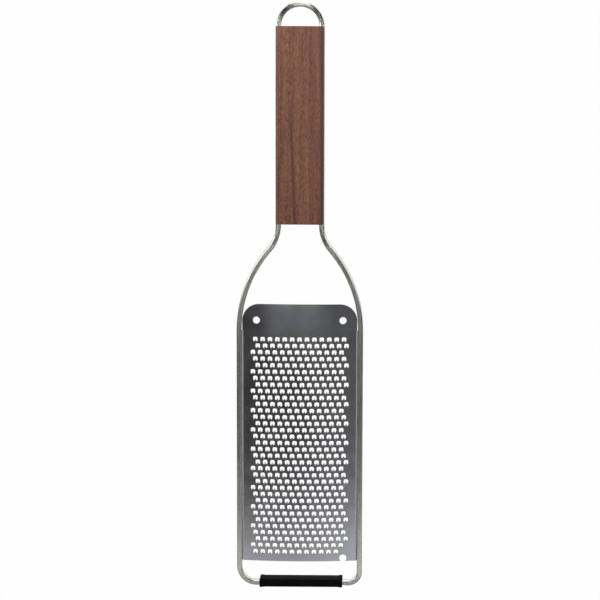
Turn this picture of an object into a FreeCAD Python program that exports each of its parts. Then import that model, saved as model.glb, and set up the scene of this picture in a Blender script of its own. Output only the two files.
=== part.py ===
import FreeCAD, Part
import math
import os
import Sketcher
from FreeCAD import Placement, Rotation, Vector

# Rasp zester: one bent bar makes the hanging loop, the two legs, the neck and the rails. A wooden
# grip sits between the legs, a crowned toothed blade hangs between the rails by its folded
# flanges, and a rubber sleeve covers the cross bar at the tip.
# X runs across the blade, Y along the tool towards the loop, and Z up from the surface that the
# tool lies on, teeth upwards. The origin is under the middle of the tool, on that surface.

# Driving dimensions in millimetres.
SIZES = [
    ("overall_length", 324.4, "top of the hanging loop to the tip of the foot"),
    ("frame_width", 70.0, "across the outside of the rails"),
    ("bar_width", 3.0, "bar, seen from the front"),
    ("bar_depth", 4.0, "bar, front to back"),
    ("bar_edge_radius", 0.8, "rounding along the bar's four edges"),
    ("leg_bend_radius", 20.5, "centre line of the neck's upper bends"),
    ("shoulder_radius", 68.4, "centre line of the neck's lower bends"),
    ("right_corner_radius", 6.2, "centre line of the bend at the foot, right"),
    ("left_corner_radius", 9.6, "centre line of the bend at the foot, left"),
    ("handle_width", 26.2, "wooden grip, side to side"),
    ("handle_length", 107.1, "wooden grip, end to end"),
    ("handle_depth", 16.0, "wooden grip, front to back"),
    ("handle_edge_radius", 1.6, "rounding along the grip's long edges"),
    ("handle_end_radius", 0.6, "rounding around the grip's two ends"),
    ("leg_proud", 0.3, "legs' outer faces beyond the grip's sides"),
    ("groove_clearance", 0.1, "grip's side grooves, each side of the bar"),
    ("loop_gap", 0.1, "grip's top end to the start of the loop's bend"),
    ("neck_gap", 0.1, "grip's lower end to the start of the neck's bend"),
    ("foot_length", 46.4, "rubber sleeve along the cross bar"),
    ("foot_shift", 0.8, "sleeve's middle to the right of the tool's middle"),
    ("foot_height", 4.9, "rubber sleeve along the tool, at its front"),
    ("foot_front_wall", 0.9, "rubber in front of the bar"),
    ("foot_taper", 0.15, "rubber drawn in at the back, each side"),
    ("foot_edge_radius", 0.7, "rounding along the sleeve's edges"),
    ("header_rise", 14.16, "blade's top edge past the end of the straight rails"),
    ("blade_gap", 11.5, "cross bar's inner side to the blade's lower edge"),
    ("blade_thickness", 0.5, "blade sheet"),
    ("crown_radius", 190.0, "outer face of the crowned blade"),
    ("fold_radius", 1.0, "outer face of the fold between crown and flange"),
    ("flange_start", 14.8, "blade's top edge to the start of its flanges"),
    ("header_clearance", 0.3, "header's side edges to the rails"),
    ("header_corner_radius", 9.5, "rounding of the blade's two top corners"),
    ("locating_hole_diameter", 3.85, "two round holes in the header"),
    ("locating_hole_inset", 7.85, "header's side edges to the round holes"),
    ("locating_hole_drop", 9.0, "blade's top edge to the round holes"),
    ("notch_diameter", 4.0, "round notch in the lower edge"),
    ("notch_inset", 7.75, "right rail to the notch's centre"),
    ("notch_rise", 1.7, "notch centre above the lower edge"),
    ("notch_web", 1.0, "least metal between the notch and an opening"),
    ("tooth_side_margin", 4.6, "least bare metal between the openings and a rail"),
    ("tooth_end_margin", 5.2, "least distance from the last row to the blade's lower edge"),
    ("column_pitch", 4.09, "tooth to tooth along a row, on the outer face"),
    ("row_pitch", 3.6185, "row to row"),
    ("first_row_drop", 19.55, "blade's top edge to the first row"),
    ("opening_width", 2.55, "opening in front of each tooth"),
    ("opening_length", 2.5, "opening along the tool"),
    ("opening_arch_radius", 0.85, "corners at the opening's arched end"),
    ("opening_root_radius", 0.7, "corners beside the tooth"),
    ("tooth_base", 1.1, "tooth at its root"),
    ("tooth_reach", 1.15, "tooth along the tool, root to tip"),
    ("tooth_rise", 0.5, "tip above the blade's outer face"),
    ("tooth_tip", 0.12, "metal left at the tip"),
    ("tooth_shoulder", 0.06, "root set in from both faces of the sheet"),
]

# Values worked out from the driving dimensions, as formulas of the same sheet.
WORKED_OUT = [
    ("bar_level", "=handle_depth / 2", "bar's middle above the resting surface"),
    ("half_bar_width", "=bar_width / 2", "bar's sides from its middle"),
    ("half_bar_depth", "=bar_depth / 2", "bar's front and back from its middle"),
    ("outer_rail", "=frame_width / 2", "rail's outer face"),
    ("inner_rail", "=frame_width / 2 - bar_width", "rail's inner face"),
    ("outer_leg", "=handle_width / 2 + leg_proud", "leg's outer face"),
    ("inner_leg", "=outer_leg - bar_width", "leg's inner face"),
    ("outer_bend", "=leg_bend_radius - half_bar_width", "neck's upper bend, outside"),
    ("inner_bend", "=leg_bend_radius + half_bar_width", "neck's upper bend, inside"),
    ("outer_shoulder", "=shoulder_radius + half_bar_width", "neck's lower bend, outside"),
    ("inner_shoulder", "=shoulder_radius - half_bar_width", "neck's lower bend, inside"),
    ("outer_right_corner", "=right_corner_radius + half_bar_width", "right bend at the foot, outside"),
    ("inner_right_corner", "=right_corner_radius - half_bar_width", "right bend at the foot, inside"),
    ("outer_left_corner", "=left_corner_radius + half_bar_width", "left bend at the foot, outside"),
    ("inner_left_corner", "=left_corner_radius - half_bar_width", "left bend at the foot, inside"),
    ("tip_y", "=-overall_length / 2 + foot_height / 2", "cross bar's centre line"),
    ("loop_rise", "=overall_length - foot_height / 2 - outer_leg",
     "start of the loop's bend above the cross bar"),
    ("handle_y", "=tip_y + loop_rise - loop_gap - handle_length", "grip's lower end"),
    ("flare_rise", "=loop_rise - loop_gap - handle_length - neck_gap",
     "start of the neck's bend above the cross bar"),
    ("bend_radii", "=leg_bend_radius + shoulder_radius", "between the centres of the neck's two bends"),
    ("flare", "=outer_rail - outer_leg", "how far the neck widens, each side"),
    ("flare_length", "=sqrt(bend_radii ^ 2 - (bend_radii - flare) ^ 2)", "neck's two bends along the tool"),
    ("shoulder_rise", "=flare_rise - flare_length", "end of the straight rails above the cross bar"),
    ("blade_y", "=tip_y + bar_width / 2 + blade_gap", "blade's lower edge"),
    ("blade_length", "=tip_y + shoulder_rise + header_rise - blade_y", "blade along the tool"),
    ("fold_x", "=inner_rail - fold_radius", "fold's centre line"),
    ("fold_level", "=bar_depth / 2 - fold_radius", "fold's centre line above the bar's middle"),
    ("fold_inner_radius", "=fold_radius - blade_thickness", "inner face of the fold"),
    ("half_handle_width", "=handle_width / 2", "grip's sides from its middle"),
    ("half_groove", "=bar_depth / 2 + groove_clearance", "groove's sides from the bar's middle"),
    ("groove_height", "=bar_depth + 2 * groove_clearance", "groove, front to back"),
    ("groove_back", "=bar_level - half_groove", "groove's back side above the grip's back"),
    ("half_foot_height", "=foot_height / 2", "sleeve's sides at the front"),
    ("half_foot_back", "=foot_height / 2 - foot_taper", "sleeve's sides at the back"),
    ("foot_front", "=bar_depth / 2 + foot_front_wall", "sleeve's front from the bar's middle"),
    ("header_half", "=inner_rail - header_clearance", "header's side edges"),
    ("header_corner_x", "=header_half - header_corner_radius", "centre of a top corner"),
    ("header_corner_y", "=blade_length - header_corner_radius", "centre of a top corner"),
    ("flange_top", "=blade_length - flange_start", "upper end of the flanges"),
    ("hole_x", "=header_half - locating_hole_inset", "round hole from the middle"),
    ("hole_y", "=blade_length - locating_hole_drop", "round holes above the lower edge"),
    ("hole_radius", "=locating_hole_diameter / 2", "round hole"),
    ("notch_radius", "=notch_diameter / 2", "notch"),
    ("notch_x", "=inner_rail - notch_inset", "notch to the right of the middle"),
    ("row_shift", "=column_pitch / 3", "how far a row of teeth steps aside from the row before"),
    ("row_room", "=2 * (inner_rail - tooth_side_margin - row_shift) - opening_width",
     "between the first and the last tooth of a row, at most"),
    ("tooth_columns", "=floor(row_room / column_pitch) + 1", "teeth in a row"),
    ("tooth_rows", "=floor((blade_length - first_row_drop - tooth_end_margin) / row_pitch) + 1",
     "rows of teeth"),
    ("trim_y", "=blade_length + header_corner_radius", "upper side of the trimmed corners"),
]

ORIGIN = (-1, 1)
START, END, CENTRE = 1, 2, 3
ACROSS, ALONG = -1, -2
# Two directions are alike when their cosine passes this, and two places when they are this near.
SAME_DIRECTION = 0.999
SAME_PLACE = 1e-4

doc = FreeCAD.newDocument("rasp_zester")
sheet = doc.addObject("Spreadsheet::Sheet", "Dimensions")
for row, (alias, content, meaning) in enumerate(SIZES + WORKED_OUT, start=1):
    sheet.set(f"A{row}", meaning)
    sheet.set(f"B{row}", str(content))
    sheet.setAlias(f"B{row}", alias)
doc.recompute()


def size(alias):
    """Read one value of the sheet."""
    return float(sheet.get(alias))


def new_body(label, across=None, along=None, level=None):
    """Add a body whose own origin stands at the given cells of the sheet."""
    body = doc.addObject("PartDesign::Body", label)
    body.Label = label
    if across:
        body.setExpression("Placement.Base.x", f"Dimensions.{across}")
    if along:
        body.setExpression("Placement.Base.y", f"Dimensions.{along}")
    if level:
        body.setExpression("Placement.Base.z", f"Dimensions.{level}")
    return body


def new_sketch(body, name, role):
    """Add a sketch on one of the body's origin planes."""
    sketch = body.newObject("Sketcher::SketchObject", name)
    plane = next(item for item in body.Origin.OriginFeatures if item.Role == role)
    sketch.AttachmentSupport = [(plane, "")]
    sketch.MapMode = "FlatFace"
    return sketch


def line(sketch, start, end):
    """Add a straight edge."""
    segment = Part.LineSegment(Vector(*start, 0), Vector(*end, 0))
    return sketch.addGeometry(segment, False)


def arc(sketch, centre, radius, first, last):
    """Add an arc that runs anticlockwise from the first angle to the last, in radians."""
    circle = Part.Circle(Vector(*centre, 0), Vector(0, 0, 1), radius)
    return sketch.addGeometry(Part.ArcOfCircle(circle, first, last), False)


def relate(sketch, kind, *refs):
    """Add a geometric constraint."""
    sketch.addConstraint(Sketcher.Constraint(kind, *refs))


def measure(sketch, kind, *refs, cell):
    """Add a dimension and tie it to a cell of the sheet."""
    index = sketch.addConstraint(Sketcher.Constraint(kind, *refs, size(cell)))
    sketch.setExpression(f"Constraints[{index}]", f"Dimensions.{cell}")


def right_of(sketch, point, cell):
    """Place a point to the right of the sketch's origin."""
    measure(sketch, "DistanceX", *ORIGIN, *point, cell=cell)


def left_of(sketch, point, cell):
    """Place a point to the left of the sketch's origin."""
    measure(sketch, "DistanceX", *point, *ORIGIN, cell=cell)


def above(sketch, point, cell):
    """Place a point above the sketch's origin."""
    measure(sketch, "DistanceY", *ORIGIN, *point, cell=cell)


def below(sketch, point, cell):
    """Place a point below the sketch's origin."""
    measure(sketch, "DistanceY", *point, *ORIGIN, cell=cell)


def rounded_bar(sketch):
    """Draw the bar's section about the sketch's origin: upright is the bar's depth."""
    wide, deep, radius = size("half_bar_width"), size("half_bar_depth"), size("bar_edge_radius")
    straight_x, straight_y = wide - radius, deep - radius
    quarter = math.pi / 2
    right = line(sketch, (wide, -straight_y), (wide, straight_y))
    right_top = arc(sketch, (straight_x, straight_y), radius, 0, quarter)
    top = line(sketch, (straight_x, deep), (-straight_x, deep))
    left_top = arc(sketch, (-straight_x, straight_y), radius, quarter, 2 * quarter)
    left = line(sketch, (-wide, straight_y), (-wide, -straight_y))
    left_low = arc(sketch, (-straight_x, -straight_y), radius, 2 * quarter, 3 * quarter)
    low = line(sketch, (-straight_x, -deep), (straight_x, -deep))
    right_low = arc(sketch, (straight_x, -straight_y), radius, 3 * quarter, 4 * quarter)
    ring = [right, right_top, top, left_top, left, left_low, low, right_low]
    for edge, following in zip(ring, ring[1:] + ring[:1]):
        relate(sketch, "Tangent", edge, END, following, START)
    for corner in (left_top, left_low, right_low):
        relate(sketch, "Equal", right_top, corner)
    measure(sketch, "Radius", right_top, cell="bar_edge_radius")
    relate(sketch, "Vertical", right)
    right_of(sketch, (right, START), "half_bar_width")
    left_of(sketch, (left, START), "half_bar_width")
    above(sketch, (top, START), "half_bar_depth")
    below(sketch, (low, START), "half_bar_depth")


def edges_along(shape, direction):
    """Name the straight edges of a shape that run along a direction."""
    names = []
    for number, edge in enumerate(shape.Edges, start=1):
        ends = [vertex.Point for vertex in edge.Vertexes]
        if len(ends) == 2 and edge.Curve.TypeId == "Part::GeomLine":
            run = (ends[1] - ends[0]).normalize()
            if abs(run.dot(direction)) > SAME_DIRECTION:
                names.append(f"Edge{number}")
    return names


def edges_at(shape, heights):
    """Name the edges of a shape that lie whole at one of the given places along Y."""
    names = []
    for number, edge in enumerate(shape.Edges, start=1):
        box = edge.BoundBox
        for height in heights:
            if max(abs(box.YMin - height), abs(box.YMax - height)) < SAME_PLACE:
                names.append(f"Edge{number}")
    return names


def round_edges(body, name, base, edges, cell):
    """Round the named edges of a feature."""
    fillet = body.newObject("PartDesign::Fillet", name)
    fillet.Base = (base, edges)
    fillet.setExpression("Radius", f"Dimensions.{cell}")
    return fillet


def cut_through(body, name, sketch):
    """Cut a sketch's outline through the body both ways."""
    pocket = body.newObject("PartDesign::Pocket", name)
    pocket.Profile = sketch
    pocket.Midplane = True
    pocket.Type = "ThroughAll"
    return pocket


def bar_outline(sketch, side, cross):
    """Draw the bar's outer or inner outline: cross bar, rails, neck, legs and loop in one ring."""
    rail, leg = size(f"{side}_rail"), size(f"{side}_leg")
    upper, lower = size(f"{side}_bend"), size(f"{side}_shoulder")
    right, left = size(f"{side}_right_corner"), size(f"{side}_left_corner")
    loop, flare, shoulder = size("loop_rise"), size("flare_rise"), size("shoulder_rise")
    turn = math.acos(1 - (rail - leg) / (upper + lower))
    base = size("half_bar_width") if cross is above else -size("half_bar_width")
    cross_edge = line(sketch, (left - rail, base), (rail - right, base))
    corner_right = arc(sketch, (rail - right, base + right), right, -math.pi / 2, 0)
    rail_right = line(sketch, (rail, base + right), (rail, shoulder))
    shoulder_right = arc(sketch, (rail - lower, shoulder), lower, 0, turn)
    bend_right = arc(sketch, (leg + upper, flare), upper, math.pi, math.pi + turn)
    leg_right = line(sketch, (leg, flare), (leg, loop))
    top = arc(sketch, (0, loop), leg, 0, math.pi)
    leg_left = line(sketch, (-leg, loop), (-leg, flare))
    bend_left = arc(sketch, (-leg - upper, flare), upper, -turn, 0)
    shoulder_left = arc(sketch, (lower - rail, shoulder), lower, math.pi - turn, math.pi)
    rail_left = line(sketch, (-rail, shoulder), (-rail, base + left))
    corner_left = arc(sketch, (left - rail, base + left), left, math.pi, 1.5 * math.pi)
    # Each joint: the two edges and the ends that meet, in order round the outline.
    joints = [
        (cross_edge, END, corner_right, START),
        (corner_right, END, rail_right, START),
        (rail_right, END, shoulder_right, START),
        (shoulder_right, END, bend_right, END),
        (bend_right, START, leg_right, START),
        (leg_right, END, top, START),
        (top, END, leg_left, START),
        (leg_left, END, bend_left, END),
        (bend_left, START, shoulder_left, START),
        (shoulder_left, END, rail_left, START),
        (rail_left, END, corner_left, START),
        (corner_left, END, cross_edge, START),
    ]
    for joint in joints:
        relate(sketch, "Tangent", *joint)
    relate(sketch, "Horizontal", cross_edge)
    for upright in (rail_right, rail_left, leg_right, leg_left):
        relate(sketch, "Vertical", upright)
    measure(sketch, "Radius", corner_right, cell=f"{side}_right_corner")
    measure(sketch, "Radius", corner_left, cell=f"{side}_left_corner")
    for bend in (bend_right, bend_left):
        measure(sketch, "Radius", bend, cell=f"{side}_bend")
        above(sketch, (bend, CENTRE), "flare_rise")
    for bend in (shoulder_right, shoulder_left):
        measure(sketch, "Radius", bend, cell=f"{side}_shoulder")
    right_of(sketch, (rail_right, START), f"{side}_rail")
    left_of(sketch, (rail_left, START), f"{side}_rail")
    right_of(sketch, (leg_right, START), f"{side}_leg")
    left_of(sketch, (leg_left, START), f"{side}_leg")
    above(sketch, (top, CENTRE), "loop_rise")
    cross(sketch, (cross_edge, START), "half_bar_width")


def build_frame_bar():
    """Bent bar, closed in a ring under the foot: its outline at full depth, with rounded edges."""
    body = new_body("frame_bar", along="tip_y", level="bar_level")
    outlines = new_sketch(body, "bar_outlines", "XY_Plane")
    bar_outline(outlines, "outer", below)
    bar_outline(outlines, "inner", above)
    bar = body.newObject("PartDesign::Pad", "bar")
    bar.Profile = outlines
    bar.Midplane = True
    bar.setExpression("Length", "Dimensions.bar_depth")
    doc.recompute()
    level_edges = [
        f"Edge{number}" for number, edge in enumerate(bar.Shape.Edges, start=1)
        if edge.BoundBox.ZLength < size("half_bar_depth")
    ]
    round_edges(body, "bar_rounds", bar, level_edges, "bar_edge_radius")
    return body


def build_handle_block():
    """Wooden grip with a groove down each side, where the legs lie against the groove's floor."""
    body = new_body("handle_block", along="handle_y")
    outline = new_sketch(body, "grip_outline", "XY_Plane")
    half, length = size("half_handle_width"), size("handle_length")
    low = line(outline, (-half, 0), (half, 0))
    right = line(outline, (half, 0), (half, length))
    top = line(outline, (half, length), (-half, length))
    left = line(outline, (-half, length), (-half, 0))
    ring = [low, right, top, left]
    for edge, following in zip(ring, ring[1:] + ring[:1]):
        relate(outline, "Coincident", edge, END, following, START)
    relate(outline, "Horizontal", top)
    relate(outline, "Vertical", right)
    relate(outline, "Vertical", left)
    relate(outline, "PointOnObject", low, START, ACROSS)
    relate(outline, "PointOnObject", low, END, ACROSS)
    right_of(outline, (low, END), "half_handle_width")
    left_of(outline, (low, START), "half_handle_width")
    above(outline, (top, START), "handle_length")
    block = body.newObject("PartDesign::Pad", "grip_block")
    block.Profile = outline
    block.setExpression("Length", "Dimensions.handle_depth")
    doc.recompute()
    long_edges = edges_along(block.Shape, Vector(0, 1, 0))
    rounded = round_edges(body, "long_rounds", block, long_edges, "handle_edge_radius")
    doc.recompute()
    end_edges = edges_at(rounded.Shape, (0, length))
    round_edges(body, "end_rounds", rounded, end_edges, "handle_end_radius")
    doc.recompute()
    section = new_sketch(body, "groove_section", "XZ_Plane")
    inside, outside = size("inner_leg"), size("handle_width")
    level, clear = size("bar_level"), size("half_groove")
    for side in (1, -1):
        floor = line(section, (side * inside, level - clear), (side * inside, level + clear))
        front = line(section, (side * inside, level + clear), (side * outside, level + clear))
        open_side = line(section, (side * outside, level + clear), (side * outside, level - clear))
        back = line(section, (side * outside, level - clear), (side * inside, level - clear))
        ring = [floor, front, open_side, back]
        for edge, following in zip(ring, ring[1:] + ring[:1]):
            relate(section, "Coincident", edge, END, following, START)
        relate(section, "Vertical", floor)
        relate(section, "Vertical", open_side)
        relate(section, "Horizontal", front)
        relate(section, "Horizontal", back)
        place = right_of if side > 0 else left_of
        place(section, (floor, START), "inner_leg")
        place(section, (open_side, START), "handle_width")
        measure(section, "DistanceY", floor, START, floor, END, cell="groove_height")
        above(section, (floor, START), "groove_back")
    cut_through(body, "side_grooves", section)
    return body


def build_foot_sleeve():
    """Rubber sleeve round the cross bar, deep enough at the back to lie level with the grip."""
    body = new_body("foot_sleeve", across="foot_shift", along="tip_y", level="bar_level")
    section = new_sketch(body, "sleeve_section", "YZ_Plane")
    wide, narrow = size("half_foot_height"), size("half_foot_back")
    front, back = size("foot_front"), size("bar_level")
    face = line(section, (wide, front), (-wide, front))
    tip_side = line(section, (-wide, front), (-narrow, -back))
    rest = line(section, (-narrow, -back), (narrow, -back))
    blade_side = line(section, (narrow, -back), (wide, front))
    ring = [face, tip_side, rest, blade_side]
    for edge, following in zip(ring, ring[1:] + ring[:1]):
        relate(section, "Coincident", edge, END, following, START)
    relate(section, "Horizontal", face)
    relate(section, "Horizontal", rest)
    right_of(section, (face, START), "half_foot_height")
    left_of(section, (face, END), "half_foot_height")
    right_of(section, (rest, END), "half_foot_back")
    left_of(section, (rest, START), "half_foot_back")
    above(section, (face, START), "foot_front")
    below(section, (rest, START), "bar_level")
    sleeve = body.newObject("PartDesign::Pad", "sleeve")
    sleeve.Profile = section
    sleeve.Midplane = True
    sleeve.setExpression("Length", "Dimensions.foot_length")
    doc.recompute()
    every_edge = [f"Edge{number + 1}" for number in range(len(sleeve.Shape.Edges))]
    round_edges(body, "soft_edges", sleeve, every_edge, "foot_edge_radius")
    doc.recompute()
    bore = new_sketch(body, "bar_bore", "YZ_Plane")
    rounded_bar(bore)
    cut_through(body, "bore", bore)
    return body


def build_blade_blank():
    """Crowned sheet with folded flanges, rounded top corners, two round holes and an edge notch."""
    body = new_body("blade_blank", along="blade_y", level="bar_level")
    section = new_sketch(body, "blade_section", "XZ_Plane")
    crown, fold, thick = size("crown_radius"), size("fold_radius"), size("blade_thickness")
    fold_x, fold_level = size("fold_x"), size("fold_level")
    outside, back = size("inner_rail"), -size("half_bar_depth")
    lean = math.asin(fold_x / (crown - fold))
    middle = fold_level - (crown - fold) * math.cos(lean)
    upright = math.pi / 2
    outer = arc(section, (0, middle), crown, upright - lean, upright)
    outer_fold = arc(section, (fold_x, fold_level), fold, 0, upright - lean)
    outer_flange = line(section, (outside, fold_level), (outside, back))
    lip = line(section, (outside, back), (outside - thick, back))
    inner_flange = line(section, (outside - thick, back), (outside - thick, fold_level))
    inner_fold = arc(section, (fold_x, fold_level), fold - thick, 0, upright - lean)
    inner = arc(section, (0, middle), crown - thick, upright - lean, upright)
    seam = line(section, (0, middle + crown - thick), (0, middle + crown))
    joints = [
        ("Tangent", outer, START, outer_fold, END),
        ("Tangent", outer_fold, START, outer_flange, START),
        ("Coincident", outer_flange, END, lip, START),
        ("Coincident", lip, END, inner_flange, START),
        ("Tangent", inner_flange, END, inner_fold, START),
        ("Tangent", inner_fold, END, inner, START),
        ("Coincident", inner, END, seam, START),
        ("Coincident", seam, END, outer, END),
        ("Coincident", inner_fold, CENTRE, outer_fold, CENTRE),
        ("Coincident", inner, CENTRE, outer, CENTRE),
        ("PointOnObject", outer, CENTRE, ALONG),
        ("PointOnObject", seam, START, ALONG),
        ("PointOnObject", seam, END, ALONG),
        ("Vertical", outer_flange),
        ("Vertical", inner_flange),
        ("Horizontal", lip),
    ]
    for joint in joints:
        relate(section, *joint)
    measure(section, "Radius", outer, cell="crown_radius")
    measure(section, "Radius", outer_fold, cell="fold_radius")
    measure(section, "Radius", inner_fold, cell="fold_inner_radius")
    right_of(section, (outer_flange, START), "inner_rail")
    above(section, (outer_fold, CENTRE), "fold_level")
    below(section, (lip, START), "half_bar_depth")
    half = body.newObject("PartDesign::Pad", "half_sheet")
    half.Profile = section
    half.Reversed = True
    half.setExpression("Length", "Dimensions.blade_length")
    doc.recompute()
    whole = body.newObject("PartDesign::Mirrored", "whole_sheet")
    whole.Originals = [half]
    plane = next(item for item in body.Origin.OriginFeatures if item.Role == "YZ_Plane")
    whole.MirrorPlane = (plane, [""])
    body.Tip = whole
    doc.recompute()
    corners = new_sketch(body, "top_corners", "XY_Plane")
    corner_x, corner_y = size("header_corner_x"), size("header_corner_y")
    edge_x, start_y = size("header_half"), size("flange_top")
    radius, far_x, far_y = size("header_corner_radius"), size("outer_rail"), size("trim_y")
    for side in (1, -1):
        first, last = (0, math.pi / 2) if side > 0 else (math.pi / 2, math.pi)
        curve = arc(corners, (side * corner_x, corner_y), radius, first, last)
        low_end, top_end = (START, END) if side > 0 else (END, START)
        side_edge = line(corners, (side * edge_x, start_y), (side * edge_x, corner_y))
        step = line(corners, (side * far_x, start_y), (side * edge_x, start_y))
        outer_edge = line(corners, (side * far_x, far_y), (side * far_x, start_y))
        upper_edge = line(corners, (side * corner_x, far_y), (side * far_x, far_y))
        drop = line(corners, (side * corner_x, corner_y + radius), (side * corner_x, far_y))
        relate(corners, "Tangent", side_edge, END, curve, low_end)
        relate(corners, "Coincident", curve, top_end, drop, START)
        ring = [drop, upper_edge, outer_edge, step, side_edge]
        for edge, following in zip(ring, ring[1:]):
            relate(corners, "Coincident", edge, END, following, START)
        for upright_edge in (drop, outer_edge, side_edge):
            relate(corners, "Vertical", upright_edge)
        for level_edge in (step, upper_edge):
            relate(corners, "Horizontal", level_edge)
        relate(corners, "Vertical", curve, CENTRE, curve, top_end)
        place = right_of if side > 0 else left_of
        place(corners, (side_edge, START), "header_half")
        place(corners, (outer_edge, START), "outer_rail")
        above(corners, (step, START), "flange_top")
        above(corners, (upper_edge, START), "trim_y")
        above(corners, (curve, CENTRE), "header_corner_y")
        measure(corners, "Radius", curve, cell="header_corner_radius")
    cut_through(body, "corner_trim", corners)
    holes = new_sketch(body, "round_holes", "XY_Plane")
    hole_x, hole_y, hole_radius = size("hole_x"), size("hole_y"), size("hole_radius")
    for side, place in ((1, right_of), (-1, left_of)):
        ring = Part.Circle(Vector(side * hole_x, hole_y, 0), Vector(0, 0, 1), hole_radius)
        hole = holes.addGeometry(ring, False)
        place(holes, (hole, CENTRE), "hole_x")
        above(holes, (hole, CENTRE), "hole_y")
        measure(holes, "Radius", hole, cell="hole_radius")
    notch_at = Vector(size("notch_x"), size("notch_rise"), 0)
    notch = holes.addGeometry(Part.Circle(notch_at, Vector(0, 0, 1), size("notch_radius")), False)
    right_of(holes, (notch, CENTRE), "notch_x")
    above(holes, (notch, CENTRE), "notch_rise")
    measure(holes, "Radius", notch, cell="notch_radius")
    cut_through(body, "holes_and_notch", holes)
    return body


def opening_cutter():
    """Prism of one opening about its own centre: arched towards the loop, square at the tooth."""
    half, reach = size("opening_width") / 2, size("opening_length") / 2
    arch, root = size("opening_arch_radius"), size("opening_root_radius")
    beyond = size("blade_thickness")
    diagonal = math.sqrt(0.5)

    def point(x, y):
        return Vector(x, y, -2 * beyond)

    def corner(centre_x, centre_y, radius, start, end, out_x, out_y):
        middle = point(centre_x + out_x * radius * diagonal, centre_y + out_y * radius * diagonal)
        return Part.Arc(point(*start), middle, point(*end)).toShape()

    def edge(start, end):
        return Part.LineSegment(point(*start), point(*end)).toShape()

    outline = [
        edge((root - half, -reach), (half - root, -reach)),
        corner(half - root, root - reach, root, (half - root, -reach), (half, root - reach), 1, -1),
        edge((half, root - reach), (half, reach - arch)),
        corner(half - arch, reach - arch, arch, (half, reach - arch), (half - arch, reach), 1, 1),
        edge((half - arch, reach), (arch - half, reach)),
        corner(arch - half, reach - arch, arch, (arch - half, reach), (-half, reach - arch), -1, 1),
        edge((-half, reach - arch), (-half, root - reach)),
        corner(root - half, root - reach, root, (-half, root - reach), (root - half, -reach), -1, -1),
    ]
    return Part.Face(Part.Wire(outline)).extrude(Vector(0, 0, 3 * beyond))


def raised_tooth():
    """Pointed tooth on the wall of an opening, leaning up out of the sheet to its tip."""
    root = -size("opening_length") / 2
    half, shoulder = size("tooth_base") / 2, size("tooth_shoulder")
    top, low = -shoulder, shoulder - size("blade_thickness")
    tip_y = root + size("tooth_reach")
    root_low = [Vector(-half, root, low), Vector(half, root, low)]
    root_top = [Vector(half, root, top), Vector(-half, root, top)]
    tip_top = Vector(0, tip_y, size("tooth_rise"))
    tip_low = Vector(0, tip_y, size("tooth_rise") - size("tooth_tip"))
    outlines = [
        root_low + root_top,
        [root_top[1], root_top[0], tip_top],
        [root_low[0], tip_low, root_low[1]],
        [root_low[1], tip_low, tip_top, root_top[0]],
        [root_low[0], root_top[1], tip_top, tip_low],
    ]
    faces = [Part.Face(Part.makePolygon(outline + outline[:1])) for outline in outlines]
    return Part.Solid(Part.makeShell(faces))


def build_grating_blade(blank):
    """Blade with its rows of openings and raised teeth, cut row by row and joined again."""
    sheet_shape = blank.Tip.Shape
    crown, pitch, row_pitch = size("crown_radius"), size("column_pitch"), size("row_pitch")
    columns, rows = round(size("tooth_columns")), round(size("tooth_rows"))
    crown_top = sheet_shape.BoundBox.ZMax
    first_row = size("blade_length") - size("first_row_drop")
    notch = Vector(size("notch_x"), size("notch_rise"), 0)
    notch_keep = size("notch_radius") + size("notch_web") + size("opening_length") / 2
    cutter, tooth = opening_cutter(), raised_tooth()

    def band(low, high):
        box = sheet_shape.BoundBox
        beyond = size("blade_thickness")
        origin = Vector(box.XMin - beyond, low, box.ZMin - beyond)
        slab = Part.makeBox(box.XLength + 2 * beyond, high - low, box.ZLength + 2 * beyond, origin)
        return sheet_shape.common(slab)

    def on_crown(shape, across, along):
        angle = across / crown
        foot = Vector(crown * math.sin(angle), along, crown_top - crown * (1 - math.cos(angle)))
        placed = shape.copy()
        placed.Placement = Placement(foot, Rotation(Vector(0, 1, 0), math.degrees(angle)))
        return placed

    def under_header(side):
        """Room below the start of the fold, where the header's side has no flange."""
        wide, tall = size("bar_width") + size("fold_radius"), size("bar_depth")
        corner_x = size("fold_x") if side > 0 else -size("outer_rail")
        corner = Vector(corner_x, size("flange_top"), size("fold_level") - tall)
        return Part.makeBox(wide, size("flange_start"), tall, corner)

    # Rows step aside by a third of the pitch, right and then left, in a cycle of three.
    steps = (0, size("row_shift"), -size("row_shift"))
    finished_rows = {}
    bands = []
    for row in range(rows):
        along = first_row - row * row_pitch
        row_places = [(column - (columns - 1) / 2) * pitch + steps[row % 3] for column in range(columns)]
        places = [x for x in row_places if (Vector(x, along, 0) - notch).Length > notch_keep]
        key = (row % 3, len(places))
        if key not in finished_rows:
            strip = band(along - row_pitch / 2, along + row_pitch / 2)
            strip = strip.cut([on_crown(cutter, x, along) for x in places])
            strip = strip.fuse([on_crown(tooth, x, along) for x in places])
            finished_rows[key] = (along, strip)
        made_at, strip = finished_rows[key]
        copy = strip.copy()
        copy.translate(Vector(0, along - made_at, 0))
        bands.append(copy)
    last_row = first_row - (rows - 1) * row_pitch
    header = band(first_row + row_pitch / 2, size("blade_length"))
    header = header.cut([under_header(1), under_header(-1)])
    margin = band(0, last_row - row_pitch / 2)
    blade = doc.addObject("Part::Feature", "grating_blade")
    blade.Label = "grating_blade"
    blade.Shape = header.fuse(bands + [margin])
    blade.Placement = blank.Placement
    return blade


frame_bar = build_frame_bar()
handle_block = build_handle_block()
foot_sleeve = build_foot_sleeve()
blade_blank = build_blade_blank()
doc.recompute()
grating_blade = build_grating_blade(blade_blank)
doc.recompute()

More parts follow.
